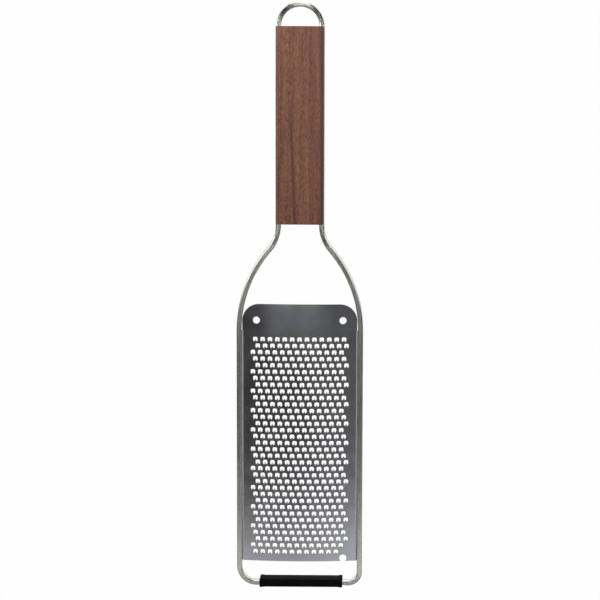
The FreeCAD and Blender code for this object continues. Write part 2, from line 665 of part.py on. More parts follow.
for item in doc.Objects:
    if "Invalid" in item.State or "Error" in item.State:
        raise RuntimeError(f"{item.Label} did not build: {item.State}")
sub_parts = [frame_bar, handle_block, foot_sleeve, grating_blade]
for sub_part in sub_parts:
    shape = sub_part.Shape
    if shape.isNull() or not shape.isValid() or len(shape.Solids) != 1:
        raise RuntimeError(f"{sub_part.Label} is not one valid solid")
os.makedirs("parts", exist_ok=True)
for sub_part in sub_parts:
    sub_part.Shape.exportStep(f"parts/{sub_part.Label}.step")
    box = sub_part.Shape.optimalBoundingBox()
    corners = [round(value, 2) for value in (box.XMin, box.YMin, box.ZMin, box.XMax, box.YMax, box.ZMax)]
    print(sub_part.Label, round(sub_part.Shape.Volume, 1), corners)
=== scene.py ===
import math

import bmesh
import bpy
from mathutils import Matrix, Vector


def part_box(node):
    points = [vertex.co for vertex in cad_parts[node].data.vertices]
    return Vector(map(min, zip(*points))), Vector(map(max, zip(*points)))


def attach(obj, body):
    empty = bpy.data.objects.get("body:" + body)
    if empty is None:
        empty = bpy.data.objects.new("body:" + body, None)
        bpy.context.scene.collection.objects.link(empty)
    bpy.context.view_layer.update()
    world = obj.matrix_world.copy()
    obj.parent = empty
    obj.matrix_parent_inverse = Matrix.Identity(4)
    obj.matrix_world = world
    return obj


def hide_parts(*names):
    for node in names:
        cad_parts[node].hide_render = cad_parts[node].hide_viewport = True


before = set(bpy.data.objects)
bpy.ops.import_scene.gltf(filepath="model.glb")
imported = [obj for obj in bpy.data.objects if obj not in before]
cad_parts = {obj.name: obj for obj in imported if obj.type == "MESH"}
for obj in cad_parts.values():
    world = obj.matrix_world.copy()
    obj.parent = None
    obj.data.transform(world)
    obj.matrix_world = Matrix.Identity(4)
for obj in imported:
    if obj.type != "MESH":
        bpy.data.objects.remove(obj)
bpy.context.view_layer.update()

# Rasp zester: a bent steel bar, a walnut grip, a crowned toothed blade and a rubber foot.
# X runs across the blade, Y along the tool towards the loop, Z up from the surface it lies on.

# Axes by their number in a vector, and the unit of the sizes below.
X, Y, Z = 0, 1, 2
UP = Vector((0, 0, 1))
MM = 0.001

# How near counts as one place, how near corners are merged, a margin for choosing them,
# and how straight an edge runs to count as parallel.
SAME_PLACE = 0.001 * MM
SAME_CORNER = 0.002 * MM
SLACK = 0.01 * MM
PARALLEL = 0.999

# Bent bar, sizes as in the solids.
BAR_WIDTH = 3.0 * MM
BAR_DEPTH = 4.0 * MM
BAR_EDGE_RADIUS = 0.8 * MM
LEG_BEND_RADIUS = 20.5 * MM
SHOULDER_RADIUS = 68.4 * MM
RIGHT_CORNER_RADIUS = 6.2 * MM
LEFT_CORNER_RADIUS = 9.6 * MM
LEG_PROUD = 0.3 * MM
NECK_GAP = 0.1 * MM

# Bent bar, as the light shows it: rounder edges, a slight roll at the neck, brushed lines.
BAR_ROUNDING = 0.9 * MM
BAR_ROUNDING_FULLNESS = 0.6
NECK_ROLL = math.radians(11)
BRUSH_PITCH = 0.03 * MM
BRUSH_SLOPE = 0.16

# Wooden grip.
GRIP_EDGE_RADIUS = 1.6 * MM
GRIP_END_RADIUS = 0.6 * MM
GROOVE_CLEARANCE = 0.1 * MM

# Rubber foot.
FOOT_TAPER = 0.15 * MM
FOOT_EDGE_RADIUS = 0.7 * MM
FOOT_LIP_LENGTH = 1.6 * MM
FOOT_WAIST = 0.25 * MM

# Blade's sheet: crown, folded sides, header, round holes and notch.
BLADE_THICKNESS = 0.5 * MM
CROWN_RADIUS = 190 * MM
FOLD_RADIUS = 1.0 * MM
FLANGE_START = 14.8 * MM
HEADER_CORNER_RADIUS = 9.5 * MM
HEADER_CLEARANCE = 0.3 * MM
HEADER_STEP = 0.05 * MM
HOLE_DIAMETER = 3.85 * MM
HOLE_X = 23.85 * MM
HOLE_DROP = 9.0 * MM
NOTCH_DIAMETER = 4.0 * MM
NOTCH_X = 24.25 * MM
NOTCH_RISE = 1.7 * MM

# Blade's openings and teeth.
COLUMNS = 13
ROWS = 34
COLUMN_PITCH = 4.09 * MM
ROW_PITCH = 3.6185 * MM
FIRST_ROW_DROP = 19.55 * MM
OPENING_WIDTH = 2.55 * MM
OPENING_LENGTH = 2.5 * MM
ARCH_RADIUS = 0.85 * MM
ROOT_RADIUS = 0.7 * MM
# Width of the rim round each opening, which is etched rougher and painted darker as shade.
RIM_ETCH_AND_SHADE_WIDTH = 0.4 * MM
TOOTH_BASE = 1.1 * MM
TOOTH_REACH = 1.15 * MM
TOOTH_RISE = 0.5 * MM
TOOTH_TIP_THICKNESS = 0.12 * MM
TOOTH_KNEE_REACH = 0.5 * TOOTH_REACH
TOOTH_KNEE_RISE = 0.38 * TOOTH_RISE
TOOTH_KNEE_WIDTH = 0.62 * TOOTH_BASE
TOOTH_POINT_WIDTH = 0.12 * TOOTH_KNEE_WIDTH

# Studio: distances in metres, angles in radians.
FLOOR_SIZE = 30
PANEL_HEIGHT = 1.2
BOX_DISTANCE = 1.2
CAMERA_DISTANCE = 1.0
CAMERA_ASIDE = 0.045
CAMERA_LEAN = math.radians(6.5)
CAMERA_ROLL = math.radians(-0.38)
CAMERA_TARGET = Vector((0.05 * MM, -0.085 * MM, 9 * MM))

bar_low, bar_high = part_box("frame_bar")
grip_low, grip_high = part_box("handle_block")
foot_low, foot_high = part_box("foot_sleeve")
blade_low, blade_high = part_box("grating_blade")

# Bar's run, from the frame.
BAR_LEVEL = (bar_low.z + bar_high.z) / 2
TIP_Y = (foot_low.y + foot_high.y) / 2
TIP_MIDDLE = Vector((0, TIP_Y, BAR_LEVEL))
RAIL_X = bar_high.x - BAR_WIDTH / 2
LEG_X = grip_high.x + LEG_PROUD - BAR_WIDTH / 2
LOOP_Y = bar_high.y - LEG_X - BAR_WIDTH / 2
FLARE_Y = grip_low.y - NECK_GAP
NECK_TURN = math.acos(1 - (RAIL_X - LEG_X) / (LEG_BEND_RADIUS + SHOULDER_RADIUS))
SHOULDER_Y = FLARE_Y - (LEG_BEND_RADIUS + SHOULDER_RADIUS) * math.sin(NECK_TURN)

# Blade's places, from the frame.
CROWN_TOP = blade_high.z - TOOTH_RISE
FOLD_X = blade_high.x - FOLD_RADIUS
FOLD_LEVEL = bar_high.z - FOLD_RADIUS
CROWN_LEAN = math.asin(FOLD_X / (CROWN_RADIUS - FOLD_RADIUS))
FLAT_HALF = CROWN_RADIUS * CROWN_LEAN
SHEET_HALF = CROWN_RADIUS * math.asin((blade_high.x - HEADER_CLEARANCE) / CROWN_RADIUS)
FLANGE_TOP = blade_high.y - FLANGE_START
FIRST_TOOTH_X = -(COLUMNS - 1) / 2 * COLUMN_PITCH
FIRST_ROW_Y = blade_high.y - FIRST_ROW_DROP
FIRST_CELL = Vector((FIRST_TOOTH_X, FIRST_ROW_Y, CROWN_TOP))
FIRST_ROOT_Y = FIRST_ROW_Y - OPENING_LENGTH / 2


# Finishes

class Field:
    """A socket of a material's nodes that Python arithmetic works on."""

    def __init__(self, finish, socket):
        self.finish = finish
        self.socket = socket

    def __add__(self, other):
        return self.finish.maths("ADD", self, other)

    def __sub__(self, other):
        return self.finish.maths("SUBTRACT", self, other)

    def __rsub__(self, other):
        return self.finish.maths("SUBTRACT", other, self)

    def __mul__(self, other):
        return self.finish.maths("MULTIPLY", self, other)

    def __truediv__(self, other):
        return self.finish.maths("DIVIDE", self, other)

    def __abs__(self):
        return self.finish.maths("ABSOLUTE", self)

    __radd__ = __add__
    __rmul__ = __mul__

    def smooth(self, low, high):
        """Rise softly from 0 at the low value to 1 at the high one."""
        settings = {"interpolation_type": "SMOOTHSTEP"}
        sockets = {"Value": self, "From Min": low, "From Max": high}
        return self.finish.node("ShaderNodeMapRange", settings, sockets)["Result"]


class Finish:
    """One material: its node tree, and the shader that its patterns feed."""

    def __init__(self, name):
        self.material = bpy.data.materials.new(name)
        self.material.use_nodes = True
        self.tree = self.material.node_tree
        self.shader = self.tree.nodes["Principled BSDF"]

    def connect(self, socket, value):
        if isinstance(value, Field):
            self.tree.links.new(value.socket, socket)
        else:
            socket.default_value = value

    def node(self, kind, settings=None, sockets=None):
        """Add a node: its settings first, then its sockets. Its outputs come back by name."""
        node = self.tree.nodes.new(kind)
        for name, value in (settings or {}).items():
            if name == "stops":
                self.set_stops(node.color_ramp, value)
            else:
                setattr(node, name, value)
        for name, value in (sockets or {}).items():
            self.connect(node.inputs[name], value)
        return {output.name: Field(self, output) for output in node.outputs if output.enabled}

    def set_stops(self, ramp, stops):
        while len(ramp.elements) < len(stops):
            ramp.elements.new(1.0)
        for element, (place, colour) in zip(ramp.elements, stops):
            element.position = place
            element.color = (*colour, 1.0)

    def maths(self, operation, *operands):
        sockets = dict(enumerate(operands))
        return self.node("ShaderNodeMath", {"operation": operation}, sockets)["Value"]

    def attribute(self, name):
        """A number that the piece's corners carry."""
        return self.node("ShaderNodeAttribute", {"attribute_name": name})["Fac"]

    def place(self, cell=(1, 1, 1)):
        """Object coordinates, counted in cells of a size in metres."""
        point = self.node("ShaderNodeTexCoord")["Object"]
        scale = [1 / side for side in cell]
        return self.node("ShaderNodeMapping", None, {"Vector": point, "Scale": scale})["Vector"]

    def axes(self, vector):
        return self.node("ShaderNodeSeparateXYZ", None, {"Vector": vector})

    def vector(self, x, y, z):
        return self.node("ShaderNodeCombineXYZ", None, {"X": x, "Y": y, "Z": z})["Vector"]

    def noise(self, point, detail=2.0):
        """Soft random pattern, about one patch to each unit of the point."""
        sockets = {"Vector": point, "Scale": 1.0, "Detail": detail}
        return self.node("ShaderNodeTexNoise", None, sockets)["Fac"]

    def patches(self, size, detail=2.0):
        """Soft random pattern, of one size in every direction."""
        return self.noise(self.place((size, size, size)), detail)

    def blend(self, amount, first, second):
        """Mix two colours, which are sockets 6 and 7 of the node."""
        settings = {"data_type": "RGBA"}
        sockets = {"Factor": amount, 6: first, 7: second}
        return self.node("ShaderNodeMix", settings, sockets)["Result"]

    def ramp(self, amount, stops):
        return self.node("ShaderNodeValToRGB", {"stops": stops}, {"Fac": amount})["Color"]

    def relief(self, height, depth, fineness=0.1):
        """Turn a height field into the surface's normal."""
        sockets = {"Height": height, "Distance": depth, "Filter Width": fineness}
        self.feed({"Normal": self.node("ShaderNodeBump", None, sockets)["Normal"]})

    def feed(self, sockets):
        for name, value in sockets.items():
            self.connect(self.shader.inputs[name], value)


def grey(level):
    return (level, level, level, 1.0)


def frame_steel():
    """Bar stock, brushed along its length, and worn smoother from the neck up."""
    finish = Finish("frame_steel")
    along = finish.attribute("along")
    around = finish.attribute("around")
    noise_slice = 4.0
    smears = finish.noise(finish.vector(around / (1.1 * MM), along / (14 * MM), noise_slice))

    # Fine grooves side by side, which wander a little with the smears.
    lines = around / BRUSH_PITCH + 3 * smears
    across_line = finish.maths("FRACT", lines) - 0.5
    finish.relief(across_line * across_line, BRUSH_PITCH * BRUSH_SLOPE, fineness=0.01)

    clouds = finish.patches(16 * MM)
    worn = finish.axes(finish.place())["Y"].smooth(8 * MM, 20 * MM)
    tone = finish.ramp(smears * 0.6 + clouds * 0.4, [
        (0.30, (0.595, 0.600, 0.545)),
        (0.70, (0.715, 0.722, 0.665)),
    ])
    finish.feed({
        "Base Color": tone,
        "Metallic": 1.0,
        "Roughness": 0.16 + 0.10 * smears - 0.09 * worn,
    })
    return finish.material


def blade_steel():
    """Etched spring sheet with a fine satin skin: rims painted dark as shade, folded sides painted
    pale as a highlight.
    """
    finish = Finish("blade_steel")
    lay = finish.noise(finish.place((0.22 * MM, 7 * MM, 0.22 * MM)), detail=3.0)
    clouds = finish.patches(9 * MM, detail=3.0)
    # Rim round each opening: rougher from etching, and its colour darkened as painted shade.
    rim_etch_and_shade = finish.attribute("rim").smooth(0.35, 0.95)
    fold = finish.attribute("fold")
    tone = finish.ramp(lay * 0.35 + clouds * 0.65, [
        (0.30, (0.430, 0.440, 0.472)),
        (0.70, (0.530, 0.541, 0.578)),
    ])
    # Folded sides: rougher from bending, and their colour made paler as a painted highlight.
    tone = finish.blend(fold, tone, grey(0.80))
    finish.feed({
        "Base Color": finish.blend(rim_etch_and_shade * 0.8, tone, (0.10, 0.10, 0.11, 1.0)),
        "Metallic": 1.0,
        "Roughness": 0.14 + 0.07 * clouds + 0.15 * rim_etch_and_shade + 0.35 * fold,
    })
    finish.relief(lay, 0.0025 * MM)
    return finish.material


def walnut():
    """Straight-grained walnut, oiled: bands, lines, flecks and pores along the grip."""
    finish = Finish("walnut")
    point = finish.axes(finish.place())
    wander = finish.noise(finish.place((40 * MM, 55 * MM, 40 * MM)), detail=1.0) - 0.5
    across = point["X"] + wander * (4 * MM)
    deep = point["Z"] + wander * (3 * MM)

    def grain(width, length, depth, detail):
        """Streaks of one width and length, running along the grip."""
        place = finish.vector(across / width, point["Y"] / length, deep / depth)
        return finish.noise(place, detail)

    bands = grain(4.2 * MM, 120 * MM, 6 * MM, 2.0)
    lines = grain(1.1 * MM, 30 * MM, 1.4 * MM, 3.0)
    flecks = grain(0.55 * MM, 1.5 * MM, 0.55 * MM, 2.0)
    pores = grain(0.42 * MM, 2.2 * MM, 0.42 * MM, 1.0).smooth(0.55, 0.68)
    tone = finish.ramp(bands * 0.29 + lines * 0.27 + flecks * 0.44, [
        (0.36, (0.108, 0.042, 0.027)),
        (0.46, (0.212, 0.086, 0.050)),
        (0.54, (0.288, 0.119, 0.067)),
        (0.64, (0.400, 0.176, 0.102)),
    ])

    # Paler wood up the middle, redder wood on the right, a dark heart line low on the left.
    pale = 1 - abs(across - 1.0 * MM).smooth(1.0 * MM, 6.0 * MM)
    pale = pale * point["Y"].smooth(45 * MM, 130 * MM)
    ruddy = point["X"].smooth(3.0 * MM, 8.0 * MM)
    heart_x = -2.5 * MM - (point["Y"] - 43 * MM) * 0.039
    heart = 1 - abs(point["X"] - heart_x + wander * (0.8 * MM)).smooth(0.0, 1.5 * MM)
    heart = heart * (1 - point["Y"].smooth(88 * MM, 112 * MM))
    tone = finish.blend(pale * 0.25, tone, (0.300, 0.130, 0.072, 1.0))
    tone = finish.blend(ruddy * 0.35, tone, (0.185, 0.072, 0.056, 1.0))
    tone = finish.blend(heart * 0.75, tone, (0.088, 0.033, 0.030, 1.0))

    # Painted shade: the long edges are darker beside the legs.
    corner = abs(point["X"] + 0.6 * MM).smooth(grip_high.x - 1.9 * MM, grip_high.x - 0.2 * MM)
    tone = finish.blend(corner * 0.7, tone, (0.050, 0.024, 0.020, 1.0))
    finish.feed({
        "Base Color": finish.blend(pores * 0.60, tone, (0.066, 0.028, 0.018, 1.0)),
        "Roughness": 0.44 + 0.14 * lines + 0.12 * pores,
        "Specular IOR Level": 0.35,
        "Coat Weight": 0.2,
        "Coat Roughness": 0.3,
    })
    finish.relief(lines * 0.4 - pores * 0.6, 0.04 * MM)
    return finish.material


def foot_rubber():
    """Black moulded rubber, matt, with a fine grain."""
    finish = Finish("foot_rubber")
    grain = finish.patches(0.35 * MM, detail=3.0)
    scuffs = finish.patches(5 * MM, detail=4.0)
    finish.feed({
        "Base Color": finish.ramp(scuffs, [
            (0.35, (0.0040, 0.0032, 0.0034)),
            (0.70, (0.0070, 0.0058, 0.0062)),
        ]),
        "Roughness": 0.64 + 0.16 * scuffs,
        "Specular IOR Level": 0.03,
    })
    finish.relief(grain, 0.014 * MM)
    return finish.material


# Bench work that the pieces share

def leave_edit_mode():
    if bpy.context.mode != "OBJECT":
        bpy.ops.object.mode_set(mode="OBJECT")


def start_piece(name, add, **placing):
    """Add a primitive at its size and place, and open it with nothing selected."""
    leave_edit_mode()
    bpy.ops.object.select_all(action="DESELECT")
    add(**placing)
    piece = bpy.context.object
    piece.name = name
    piece.data.name = name
    bpy.ops.object.transform_apply(location=True, rotation=True, scale=True)
    bpy.ops.object.mode_set(mode="EDIT")
    bpy.ops.mesh.select_all(action="DESELECT")
    return piece


def start_block(name, low, high):
    """Add a block between two corners."""
    placing = {"size": 1, "location": (low + high) / 2, "scale": high - low}
    return start_piece(name, bpy.ops.mesh.primitive_cube_add, **placing)


def add_rectangle(middle, width, length):
    """Add a flat open rectangle to the piece that is in edit mode."""
    bpy.ops.mesh.select_all(action="DESELECT")
    bpy.ops.mesh.primitive_plane_add(size=1, location=middle)
    bpy.ops.transform.resize(value=(width, length, 1), center_override=middle)
    bpy.ops.mesh.delete(type="ONLY_FACE")


def pick(piece, kind, test):
    """Select only the vertices, edges or faces that pass a test."""
    bpy.ops.mesh.select_mode(type={"verts": "VERT", "edges": "EDGE", "faces": "FACE"}[kind])
    bpy.ops.mesh.select_all(action="DESELECT")
    mesh = bmesh.from_edit_mesh(piece.data)
    for element in getattr(mesh, kind):
        if test(element):
            element.select_set(True)
    mesh.select_flush_mode()
    bmesh.update_edit_mesh(piece.data)


def near(first, second):
    return abs(first - second) < SAME_PLACE


def runs_along(edge, axis):
    """Whether an edge is parallel to an axis."""
    run = edge.verts[1].co - edge.verts[0].co
    return abs(run[axis]) > PARALLEL * run.length


def lies_at(edge, axis, *places):
    """Whether both ends of an edge are at one of the places along an axis."""
    return any(all(near(end.co[axis], place) for end in edge.verts) for place in places)


def extrude(move):
    """Extrude what is selected, and move its new end."""
    bpy.ops.mesh.extrude_region_move(TRANSFORM_OT_translate={"value": move})


def spin_selected(steps, turn, centre, axis):
    """Draw what is selected round an axis, by the right-hand rule."""
    bpy.ops.mesh.spin(steps=steps, angle=turn, center=centre, axis=-axis)


def merge_corners():
    bpy.ops.mesh.select_all(action="SELECT")
    bpy.ops.mesh.remove_doubles(threshold=SAME_CORNER)


def face_outwards():
    bpy.ops.mesh.select_all(action="SELECT")
    bpy.ops.mesh.normals_make_consistent(inside=False)


def mark_all(piece, layer_name, value):
    """Add a number to every vertex, under a name."""
    mesh = bmesh.from_edit_mesh(piece.data)
    layer = mesh.verts.layers.float.new(layer_name)
    for corner in mesh.verts:
        corner[layer] = value


def mark_selected(piece, layer_name, value):
    """Change the number of every selected vertex."""
    mesh = bmesh.from_edit_mesh(piece.data)
    layer = mesh.verts.layers.float[layer_name]
    for corner in mesh.verts:
        if corner.select:
            corner[layer] = value


def cut_away(piece, cutter):
    """Cut one piece out of another."""
    leave_edit_mode()
    cut = piece.modifiers.new("cut", "BOOLEAN")
    cut.operation = "DIFFERENCE"
    cut.solver = "EXACT"
    cut.object = cutter
    bpy.context.view_layer.objects.active = piece
    bpy.ops.object.modifier_apply(modifier=cut.name)
    bpy.data.objects.remove(cutter)


def close_piece(piece, sharp_angle):
    """Leave edit mode and shade the piece smooth up to an angle in degrees."""
    leave_edit_mode()
    bpy.ops.object.select_all(action="DESELECT")
    piece.select_set(True)
    bpy.context.view_layer.objects.active = piece
    bpy.ops.object.shade_smooth_by_angle(angle=math.radians(sharp_angle))


def hand_over(piece, node, material):
    """Give a piece its finish and its place in the frame."""
    piece.data.materials.clear()
    piece.data.materials.append(material)
    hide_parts(node)
    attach(piece, "root")


# Bent bar

def start_bar_section():
    """Rounded section of the bar, standing across the cross bar's middle, as an open ring."""
    upright = (0, math.radians(90), 0)
    placing = {"size": 1, "location": TIP_MIDDLE, "rotation": upright}
    piece = start_piece("bent_bar", bpy.ops.mesh.primitive_plane_add, **placing)
    bpy.ops.mesh.select_all(action="SELECT")
    bpy.ops.transform.resize(value=(1, BAR_WIDTH, BAR_DEPTH), center_override=TIP_MIDDLE)
    rounding = {"offset": BAR_ROUNDING, "profile": BAR_ROUNDING_FULLNESS}
    bpy.ops.mesh.bevel(segments=10, affect="VERTICES", **rounding)
    bpy.ops.mesh.delete(type="ONLY_FACE")
    mark_all(piece, "along", 0.0)
    mark_all(piece, "around", 0.0)
    measure_around(piece)
    bpy.ops.mesh.select_mode(type="EDGE")
    bpy.ops.mesh.select_all(action="SELECT")
    return piece


def measure_around(piece):
    """Give each corner of the ring its distance round the section, for the brushed lines."""
    mesh = bmesh.from_edit_mesh(piece.data)
    around = mesh.verts.layers.float["around"]
    corner = min(mesh.verts, key=lambda vertex: (vertex.co.z, vertex.co.y))
    edge = corner.link_edges[0]
    distance = 0.0
    for _ in range(len(mesh.verts)):
        corner[around] = distance
        distance += edge.calc_length()
        corner = edge.other_vert(corner)
        edge = next(other for other in corner.link_edges if other is not edge)


class BarWalk:
    """Draws the bar's open end along straights and bends, as a bender would feed it."""

    STEP = math.radians(3)

    def __init__(self, piece):
        self.piece = piece
        self.at = TIP_MIDDLE.copy()
        self.heading = 0.0
        self.fed = 0.0

    def forward(self):
        return Vector((math.cos(self.heading), math.sin(self.heading), 0))

    def left(self):
        return Vector((-math.sin(self.heading), math.cos(self.heading), 0))

    def feed(self, length):
        """Count the length that is drawn, and write it to the open end."""
        self.fed += length
        mark_selected(self.piece, "along", self.fed)

    def straight(self, length):
        move = self.forward() * length
        extrude(move)
        self.at += move
        self.feed(length)

    def roll(self, angle):
        """Roll the open end on its lower outer corner, so that its outer side turns up."""
        corner = self.at - self.left() * BAR_WIDTH / 2 - UP * BAR_DEPTH / 2
        bpy.context.scene.cursor.rotation_euler = (0, 0, self.heading)
        turning = {"orient_axis": "X", "orient_type": "CURSOR", "center_override": corner}
        bpy.ops.transform.rotate(value=angle, **turning)

    def bend(self, radius, turn, roll=0.0):
        """Bend by an angle, to the left where it is positive, and roll the bar on the way."""
        centre = self.at + self.left() * math.copysign(radius, turn)
        steps = math.ceil(abs(turn) / self.STEP)
        for _ in range(steps):
            spin_selected(steps=1, turn=turn / steps, centre=centre, axis=UP)
            self.at = centre + Matrix.Rotation(turn / steps, 3, "Z") @ (self.at - centre)
            self.heading += turn / steps
            self.roll(roll / steps)
            self.feed(radius * abs(turn) / steps)


def build_bent_bar():
    """Cross bar, corner, rail, neck, leg, loop and back down the other side to the start."""
    piece = start_bar_section()
    quarter = math.pi / 2
    leg = LOOP_Y - FLARE_Y
    rail = SHOULDER_Y - TIP_Y
    walk = BarWalk(piece)
    walk.straight(RAIL_X - RIGHT_CORNER_RADIUS)
    walk.bend(RIGHT_CORNER_RADIUS, quarter)
    walk.straight(rail - RIGHT_CORNER_RADIUS)
    walk.bend(SHOULDER_RADIUS, NECK_TURN, NECK_ROLL)
    walk.bend(LEG_BEND_RADIUS, -NECK_TURN, -NECK_ROLL)
    walk.straight(leg)
    walk.bend(LEG_X, 2 * quarter)
    walk.straight(leg)
    walk.bend(LEG_BEND_RADIUS, -NECK_TURN, NECK_ROLL)
    walk.bend(SHOULDER_RADIUS, NECK_TURN, -NECK_ROLL)
    walk.straight(rail - LEFT_CORNER_RADIUS)
    walk.bend(LEFT_CORNER_RADIUS, quarter)
    walk.straight(RAIL_X - LEFT_CORNER_RADIUS)
    merge_corners()
    face_outwards()
    close_piece(piece, sharp_angle=40)
    return piece


# Grip and foot

def build_grip():
    """Walnut block: long edges rounded, ends eased, a groove down each side for the legs."""
    piece = start_block("grip", grip_low, grip_high)
    pick(piece, "edges", lambda edge: runs_along(edge, Y))
    bpy.ops.mesh.bevel(offset=GRIP_EDGE_RADIUS, segments=8, affect="EDGES")
    pick(piece, "edges", lambda edge: lies_at(edge, Y, grip_low.y, grip_high.y))
    bpy.ops.mesh.bevel(offset=GRIP_END_RADIUS, segments=6, affect="EDGES")
    half_groove = BAR_DEPTH / 2 + GROOVE_CLEARANCE
    floor_x = LEG_X - BAR_WIDTH / 2
    for side in (1, -1):
        reach = sorted((side * floor_x, side * 2 * grip_high.x))
        low = Vector((reach[0], grip_low.y - BAR_WIDTH, BAR_LEVEL - half_groove))
        high = Vector((reach[1], grip_high.y + BAR_WIDTH, BAR_LEVEL + half_groove))
        cut_away(piece, start_block("groove", low, high))
    close_piece(piece, sharp_angle=35)
    return piece


def build_foot():
    """Rubber sleeve: narrower at the back, waisted between two end lips, bored for the bar."""
    piece = start_block("foot", foot_low, foot_high)
    width = foot_high.y - foot_low.y
    middle = Vector(((foot_low.x + foot_high.x) / 2, TIP_Y, foot_low.z))
    pick(piece, "verts", lambda corner: near(corner.co.z, foot_low.z))
    bpy.ops.transform.resize(value=(1, 1 - 2 * FOOT_TAPER / width, 1), center_override=middle)
    lip_start = foot_high.x - FOOT_LIP_LENGTH - middle.x
    waist_end = lip_start - FOOT_LIP_LENGTH / 2
    for cut in (waist_end, -waist_end, lip_start, -lip_start):
        bpy.ops.mesh.select_all(action="SELECT")
        bpy.ops.mesh.bisect(plane_co=(middle.x + cut, 0, 0), plane_no=(1, 0, 0))
    pick(piece, "verts", lambda corner: abs(corner.co.x - middle.x) < waist_end + SLACK)
    bpy.ops.transform.resize(value=(1, 1 - 2 * FOOT_WAIST / width, 1), center_override=middle)
    bpy.ops.mesh.select_mode(type="EDGE")
    bpy.ops.mesh.select_all(action="DESELECT")
    bpy.ops.mesh.edges_select_sharp(sharpness=math.radians(60))
    bpy.ops.mesh.bevel(offset=FOOT_EDGE_RADIUS, segments=5, affect="EDGES")
    half_bar = Vector((2 * foot_high.x, BAR_WIDTH / 2, BAR_DEPTH / 2))
    bore = start_block("bore", TIP_MIDDLE - half_bar, TIP_MIDDLE + half_bar)
    pick(bore, "edges", lambda edge: runs_along(edge, X))
    bpy.ops.mesh.bevel(offset=BAR_EDGE_RADIUS, segments=8, affect="EDGES")
    cut_away(piece, bore)
    close_piece(piece, sharp_angle=40)
    return piece


# Toothed blade

def start_opening():
    """Outline of the first opening: arched at the top, with two corners for the tooth's base."""
    placing = {"size": 1, "location": FIRST_CELL}
    piece = start_piece("toothed_blade", bpy.ops.mesh.primitive_plane_add, **placing)
    bpy.ops.mesh.select_all(action="SELECT")
    size = (OPENING_WIDTH, OPENING_LENGTH, 1)
    bpy.ops.transform.resize(value=size, center_override=FIRST_CELL)
    pick(piece, "verts", lambda corner: corner.co.y > FIRST_ROW_Y)
    bpy.ops.mesh.bevel(offset=ARCH_RADIUS, segments=5, affect="VERTICES")
    pick(piece, "verts", lambda corner: near(corner.co.y, FIRST_ROOT_Y))
    bpy.ops.mesh.bevel(offset=ROOT_RADIUS, segments=3, affect="VERTICES")
    bpy.ops.mesh.select_all(action="SELECT")
    bpy.ops.mesh.delete(type="ONLY_FACE")
    pick(piece, "edges", lambda edge: lies_at(edge, Y, FIRST_ROOT_Y))
    bpy.ops.mesh.subdivide(number_cuts=2)
    third = (OPENING_WIDTH - 2 * ROOT_RADIUS) / 3
    pick(piece, "verts", lambda corner: near(corner.co.y, FIRST_ROOT_Y)
         and abs(corner.co.x - FIRST_TOOTH_X) < third)
    bpy.ops.transform.resize(value=(TOOTH_BASE / third, 1, 1), center_override=FIRST_CELL)
    return piece


def surround_opening(piece):
    """Rim round the opening, etched rougher and painted dark as shade, then plain sheet out to the
    edges of its cell.
    """
    mark_all(piece, "rim", 1.0)
    bpy.ops.mesh.select_mode(type="EDGE")
    bpy.ops.mesh.select_all(action="SELECT")
    extrude((0, 0, 0))
    widen = (1 + 2 * RIM_ETCH_AND_SHADE_WIDTH / OPENING_WIDTH, 1 + 2 * RIM_ETCH_AND_SHADE_WIDTH / OPENING_LENGTH, 1)
    bpy.ops.transform.resize(value=widen, center_override=FIRST_CELL)
    mark_selected(piece, "rim", 0.0)
    add_rectangle(FIRST_CELL, COLUMN_PITCH, ROW_PITCH)
    ends = (FIRST_ROW_Y - ROW_PITCH / 2, FIRST_ROW_Y + ROW_PITCH / 2)
    pick(piece, "edges", lambda edge: lies_at(edge, Y, *ends))
    bpy.ops.mesh.subdivide(number_cuts=2)
    sides = (FIRST_TOOTH_X - COLUMN_PITCH / 2, FIRST_TOOTH_X + COLUMN_PITCH / 2)
    pick(piece, "edges", lambda edge: lies_at(edge, X, *sides))
    bpy.ops.mesh.subdivide(number_cuts=1)
    fill_sheet(piece)


def fill_sheet(piece):
    """Fill the flat sheet between its open edges, and leave the openings open."""
    rim = bmesh.from_edit_mesh(piece.data).verts.layers.float["rim"]
    pick(piece, "edges", lambda edge: len(edge.link_faces) < 2 and lies_at(edge, Z, CROWN_TOP)
         and all(end[rim] == 0 for end in edge.verts))
    bpy.ops.mesh.fill(use_beauty=True)


def raise_tooth(piece):
    """The tooth leaves the opening's wall and curls up, over a knee, to a point."""
    half_base = TOOTH_BASE / 2 + SLACK
    pick(piece, "edges", lambda edge: lies_at(edge, Y, FIRST_ROOT_Y)
         and all(abs(end.co.x - FIRST_TOOTH_X) < half_base for end in edge.verts))
    to_knee = (0, TOOTH_KNEE_REACH, TOOTH_KNEE_RISE)
    to_point = (0, TOOTH_REACH - TOOTH_KNEE_REACH, TOOTH_RISE - TOOTH_KNEE_RISE)
    knee_taper = TOOTH_KNEE_WIDTH / TOOTH_BASE
    point_taper = TOOTH_POINT_WIDTH / TOOTH_KNEE_WIDTH
    for move, taper in ((to_knee, knee_taper), (to_point, point_taper)):
        extrude(move)
        bpy.ops.transform.resize(value=(taper, 1, 1), center_override=FIRST_CELL)
        mark_selected(piece, "rim", 0.0)


def weigh_metal(piece):
    """Full thickness everywhere but at the tips of the teeth."""
    piece.vertex_groups.new(name="metal")
    tools = bpy.context.scene.tool_settings
    bpy.ops.mesh.select_mode(type="VERT")
    bpy.ops.mesh.select_all(action="SELECT")
    tools.vertex_group_weight = 1.0
    bpy.ops.object.vertex_group_assign()
    pick(piece, "verts", lambda corner: near(corner.co.z, CROWN_TOP + TOOTH_RISE))
    tools.vertex_group_weight = 0.0
    bpy.ops.object.vertex_group_assign()


